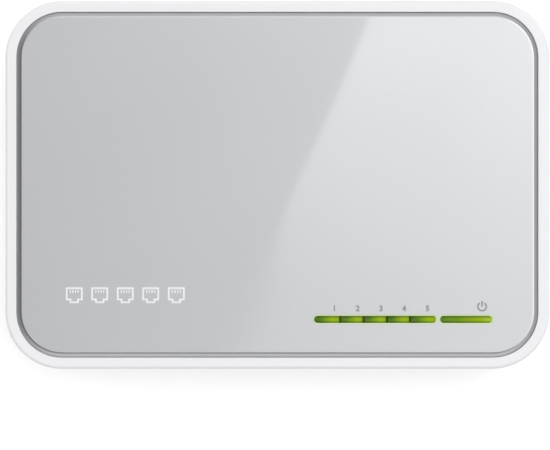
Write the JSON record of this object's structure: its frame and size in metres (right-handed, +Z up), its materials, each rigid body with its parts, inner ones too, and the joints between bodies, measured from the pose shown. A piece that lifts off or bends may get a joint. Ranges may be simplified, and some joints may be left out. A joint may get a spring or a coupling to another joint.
{
  "type": "desktop network switch",
  "caption": "Flat rounded network switch for a desk: silver top panel in a white rim, numbered port lights, modular sockets and a round power inlet at the rear.",
  "frame": {"origin": "on the table, under the middle of the case's outline", "axes": "+X to the right seen from the front, +Y to the rear where the sockets are, +Z up"},
  "size_m": [0.1036, 0.07, 0.022],
  "materials": {
    "case_white": "gloss",
    "panel_silver": "gloss over silver flake",
    "label_paper": "matt",
    "screw_steel": "satin",
    "foot_rubber": "matt",
    "lens_green": "clear gloss",
    "shield_black": "matt",
    "led_resin": "clear gloss",
    "board_green": "solder mask",
    "chip_black": "matt",
    "magnetics_black": "satin",
    "can_metal": "satin",
    "capacitor_sleeve": "gloss sleeve",
    "ferrite": "matt",
    "resistor_black": "satin",
    "capacitor_tan": "satin",
    "socket_plastic": "satin",
    "contact_gold": "polished",
    "inlet_metal": "bright"
  },
  "bodies": {
    "case": {"top_cover": "case_white", "bottom_cover": "case_white", "fascia_panel": "panel_silver", "rating_label": "label_paper", "case_screws": "screw_steel", "board_screws": "screw_steel", "foot_front_left": "foot_rubber", "foot_front_right": "foot_rubber", "foot_rear_left": "foot_rubber", "foot_rear_right": "foot_rubber", "light_pipe_1": "lens_green", "light_pipe_2": "lens_green", "light_pipe_3": "lens_green", "light_pipe_4": "lens_green", "light_pipe_5": "lens_green", "light_pipe_power": "lens_green", "light_shield": "shield_black", "led_1": "led_resin", "led_2": "led_resin", "led_3": "led_resin", "led_4": "led_resin", "led_5": "led_resin", "led_power": "led_resin", "circuit_board": "board_green", "switch_chip": "chip_black", "regulator": "chip_black", "input_diode": "chip_black", "magnetics_1": "magnetics_black", "magnetics_2": "magnetics_black", "magnetics_3": "magnetics_black", "magnetics_4": "magnetics_black", "magnetics_5": "magnetics_black", "crystal": "can_metal", "input_capacitor": "capacitor_sleeve", "output_capacitor": "capacitor_sleeve", "power_inductor": "ferrite", "chip_resistors": "resistor_black", "chip_capacitors": "capacitor_tan", "jack_block": "socket_plastic", "contact_carrier_1": "socket_plastic", "contact_carrier_2": "socket_plastic", "contact_carrier_3": "socket_plastic", "contact_carrier_4": "socket_plastic", "contact_carrier_5": "socket_plastic", "inlet_body": "socket_plastic", "contact_leads_1": "contact_gold", "contact_leads_2": "contact_gold", "contact_leads_3": "contact_gold", "contact_leads_4": "contact_gold", "contact_leads_5": "contact_gold", "inlet_pin": "inlet_metal", "inlet_terminals": "inlet_metal"},
    "contacts_1": {"contact_springs_1": "contact_gold"},
    "contacts_2": {"contact_springs_2": "contact_gold"},
    "contacts_3": {"contact_springs_3": "contact_gold"},
    "contacts_4": {"contact_springs_4": "contact_gold"},
    "contacts_5": {"contact_springs_5": "contact_gold"},
    "inlet_leaf": {"inlet_spring": "inlet_metal"}
  },
  "joints": [
    {"name": "contacts_1_flex", "type": "hinge", "parent": "case", "child": "contacts_1", "pos_m": [-0.0334, 0.031, 0.01795], "axis": [-1, 0, 0], "range_deg": [0, 12], "stiffness_Nm_per_rad": 0.3},
    {"name": "contacts_2_flex", "type": "hinge", "parent": "case", "child": "contacts_2", "pos_m": [-0.0194, 0.031, 0.01795], "axis": [-1, 0, 0], "range_deg": [0, 12], "stiffness_Nm_per_rad": 0.3},
    {"name": "contacts_3_flex", "type": "hinge", "parent": "case", "child": "contacts_3", "pos_m": [-0.0054, 0.031, 0.01795], "axis": [-1, 0, 0], "range_deg": [0, 12], "stiffness_Nm_per_rad": 0.3},
    {"name": "contacts_4_flex", "type": "hinge", "parent": "case", "child": "contacts_4", "pos_m": [0.0086, 0.031, 0.01795], "axis": [-1, 0, 0], "range_deg": [0, 12], "stiffness_Nm_per_rad": 0.3},
    {"name": "contacts_5_flex", "type": "hinge", "parent": "case", "child": "contacts_5", "pos_m": [0.0226, 0.031, 0.01795], "axis": [-1, 0, 0], "range_deg": [0, 12], "stiffness_Nm_per_rad": 0.3},
    {"name": "inlet_leaf_flex", "type": "hinge", "parent": "case", "child": "inlet_leaf", "pos_m": [0.0356, 0.02295, 0.0092], "axis": [-1, 0, 0], "range_deg": [0, 5], "stiffness_Nm_per_rad": 0.4}
  ]
}
